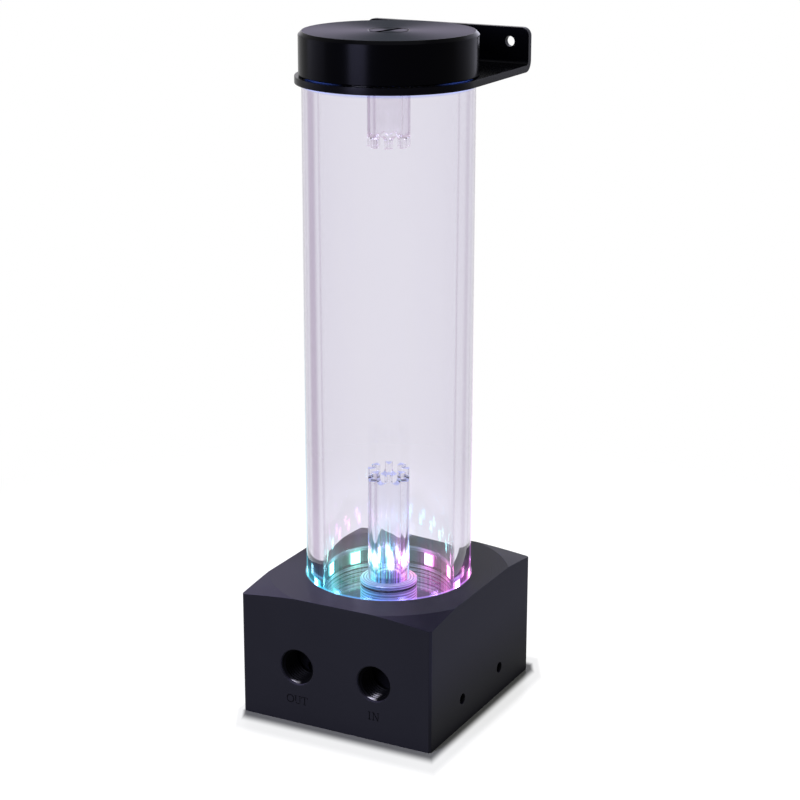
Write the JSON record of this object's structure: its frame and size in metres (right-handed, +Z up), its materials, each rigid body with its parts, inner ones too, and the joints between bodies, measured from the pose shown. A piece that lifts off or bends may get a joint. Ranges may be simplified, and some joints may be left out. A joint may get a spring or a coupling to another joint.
{
  "type": "coolant pump reservoir",
  "caption": "Upright clear coolant tank on a square black pump block with threaded ports, lit base, screw cap with fill plug, and a sheet bracket at the neck.",
  "frame": {"origin": "centre of the base block's underside, on the tank's axis", "axes": "+Z up along the tank, ports face -Y, bracket plate at +Y, side holes at +X"},
  "size_m": [0.076, 0.0877, 0.2438],
  "materials": {
    "block_black": "matt black anodised, machined, with turned rings on the top",
    "cover_black": "matt black anodised plate",
    "cap_black": "glossy black anodised, turned top",
    "bracket_black": "satin black coated sheet steel",
    "clear_acrylic": "clear polished acrylic",
    "seal_rubber": "black seal rubber",
    "screw_steel": "bright screw steel",
    "board_green": "glass-fibre board with green mask",
    "lamination_steel": "stacked laminations",
    "winding_copper": "enamelled copper winding",
    "pump_plastic": "filled moulded plastic",
    "shaft_ceramic": "ground ceramic",
    "bush_carbon": "carbon bearing",
    "magnet_dark": "bonded magnet",
    "impeller_white": "ivory moulded plastic",
    "strip_black": "black flexible circuit",
    "lamp_lens": "white lamp case with a coloured window",
    "fitting_grey": "satin metal"
  },
  "bodies": {
    "housing": {"base_block": "block_black", "base_cover": "cover_black", "cover_oring": "seal_rubber", "cover_screws": "screw_steel", "cable_grommet": "seal_rubber", "motor_board": "board_green", "stator_core": "lamination_steel", "stator_coils": "winding_copper", "separator_can": "pump_plastic", "can_oring": "seal_rubber", "can_screws": "screw_steel", "pump_shaft": "shaft_ceramic", "thrust_washer": "shaft_ceramic", "volute_insert": "pump_plastic", "led_strip": "strip_black", "leds": "lamp_lens", "fitting_oring": "seal_rubber", "riser_fitting": "fitting_grey", "riser_oring": "seal_rubber", "riser_collar": "fitting_grey", "riser_tube": "clear_acrylic", "tank_oring": "seal_rubber", "tank_tube": "clear_acrylic"},
    "plug_seal": {"plug_oring": "seal_rubber"},
    "plug": {"fill_plug": "cap_black"},
    "cap_seal": {"cap_oring": "seal_rubber"},
    "cap": {"cap": "cap_black", "drop_tube_oring": "seal_rubber", "drop_tube": "clear_acrylic"},
    "bracket": {"bracket": "bracket_black"},
    "rotor": {"rotor_bush": "bush_carbon", "rotor_magnet": "magnet_dark", "impeller": "impeller_white"}
  },
  "joints": [
    {"name": "impeller_spin", "type": "hinge", "parent": "housing", "child": "rotor", "pos_m": [0, 0, 0.0136], "axis": [0, 0, 1], "continuous": true},
    {"name": "bracket_swivel", "type": "hinge", "parent": "housing", "child": "bracket", "pos_m": [0, 0, 0.2277], "axis": [0, 0, 1], "continuous": true},
    {"name": "cap_lift", "type": "slide", "parent": "housing", "child": "cap_seal", "axis": [0, 0, 1], "range_m": [0, 0.01]},
    {"name": "cap_turn", "type": "hinge", "parent": "cap_seal", "child": "cap", "pos_m": [0, 0, 0.235], "axis": [0, 0, 1], "range_deg": [0, 1800.1]},
    {"name": "plug_lift", "type": "slide", "parent": "cap", "child": "plug_seal", "axis": [0, 0, 1], "range_m": [0, 0.00802]},
    {"name": "plug_turn", "type": "hinge", "parent": "plug_seal", "child": "plug", "pos_m": [0, 0, 0.241], "axis": [0, 0, 1], "range_deg": [0, 2160.1]}
  ],
  "couplings": [
    {"joint": "cap_turn", "follows": "cap_lift", "rad_per_m": 3141.6},
    {"joint": "plug_turn", "follows": "plug_lift", "rad_per_m": 4699.5}
  ]
}
